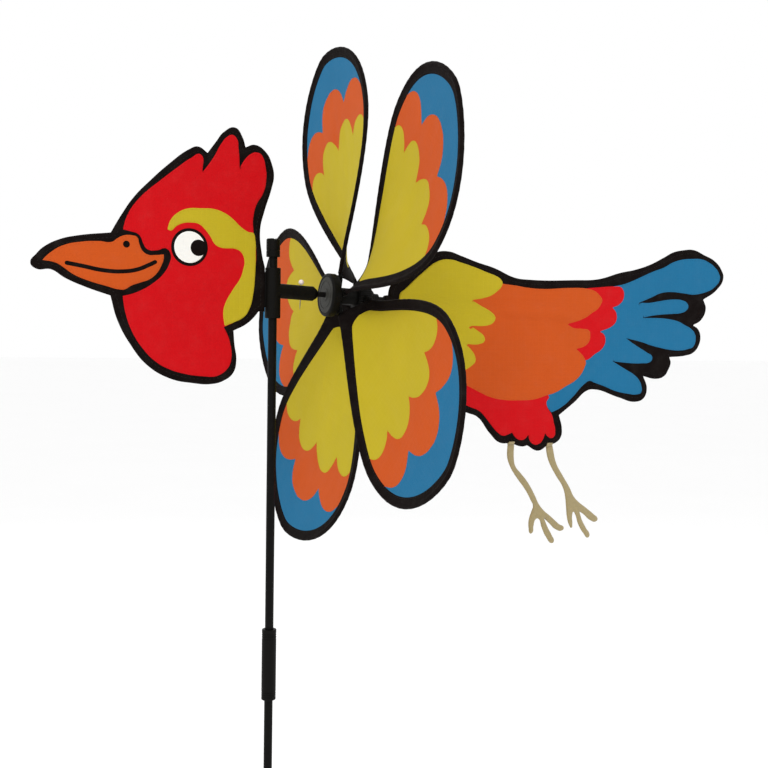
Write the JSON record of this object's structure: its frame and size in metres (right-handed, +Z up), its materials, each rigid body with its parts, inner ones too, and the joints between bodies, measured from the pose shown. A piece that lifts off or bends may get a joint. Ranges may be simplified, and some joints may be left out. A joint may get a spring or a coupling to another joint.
{
  "type": "whirligig",
  "caption": "Garden wind spinner: a flat cloth bird on a swivelling spar, with a petal wind wheel behind its head, on a two-piece ground pole.",
  "frame": {"origin": "on the pole's axis at the ground line, with the lower end of the pole below it", "axes": "+Z up along the pole, +X from the bird's head to its tail, +Y through the flat panels"},
  "size_m": [0.763, 0.4895, 1.0204],
  "materials": {
    "pole_black": "satin",
    "black_plastic": "matte",
    "rod_black": "satin",
    "hub_grey": "matte",
    "black_cloth": "matte",
    "yellow_cloth": "matte",
    "orange_cloth": "matte",
    "blue_cloth": "matte",
    "red_cloth": "matte",
    "white_cloth": "matte",
    "tan_felt": "matte",
    "pin_steel": "polished",
    "pearl": "gloss"
  },
  "bodies": {
    "ground_pole": {"ground_tip": "black_plastic", "lower_pole": "pole_black", "pole_ferrule": "black_plastic"},
    "upper_pole": {"upper_pole": "pole_black", "pole_cap": "black_plastic", "stop_ring": "black_plastic"},
    "vane": {"swivel_tee": "black_plastic", "spar": "rod_black", "spar_stop": "black_plastic", "head_panel": "black_cloth", "body_panel": "black_cloth"},
    "lock_pin": {"pin_head": "pearl", "pin_shaft": "pin_steel"},
    "wheel": {"hub_front_disc": "hub_grey", "hub_barrel": "black_plastic", "petal_rod_1": "rod_black", "petal_rod_2": "rod_black", "petal_rod_3": "rod_black", "petal_rod_4": "rod_black", "petal_rod_5": "rod_black", "petal_sail_1": "yellow_cloth", "petal_sail_2": "yellow_cloth", "petal_sail_3": "yellow_cloth", "petal_sail_4": "yellow_cloth", "petal_sail_5": "yellow_cloth"},
    "leg_front": {"leg_front": "tan_felt"},
    "leg_rear": {"leg_rear": "tan_felt"}
  },
  "joints": [
    {"name": "pole_pull", "type": "slide", "parent": "ground_pole", "child": "upper_pole", "axis": [0, 0, 1], "range_m": [0, 0.032]},
    {"name": "vane_yaw", "type": "hinge", "parent": "upper_pole", "child": "vane", "pos_m": [0, 0, 0.602], "axis": [0, 0, 1], "continuous": true},
    {"name": "wheel_spin", "type": "hinge", "parent": "vane", "child": "wheel", "pos_m": [0.07791, 0, 0.59819], "axis": [0.9988, 0, -0.0489], "continuous": true},
    {"name": "pin_pull", "type": "slide", "parent": "vane", "child": "lock_pin", "axis": [0.0489, 0, 0.9988], "range_m": [0, 0.03]},
    {"name": "leg_front_swing", "type": "hinge", "parent": "vane", "child": "leg_front", "pos_m": [0.264, 0, 0.4495], "axis": [1, 0, 0], "range_deg": [-70, 70]},
    {"name": "leg_rear_swing", "type": "hinge", "parent": "vane", "child": "leg_rear", "pos_m": [0.3115, 0, 0.444], "axis": [1, 0, 0], "range_deg": [-70, 70]}
  ]
}
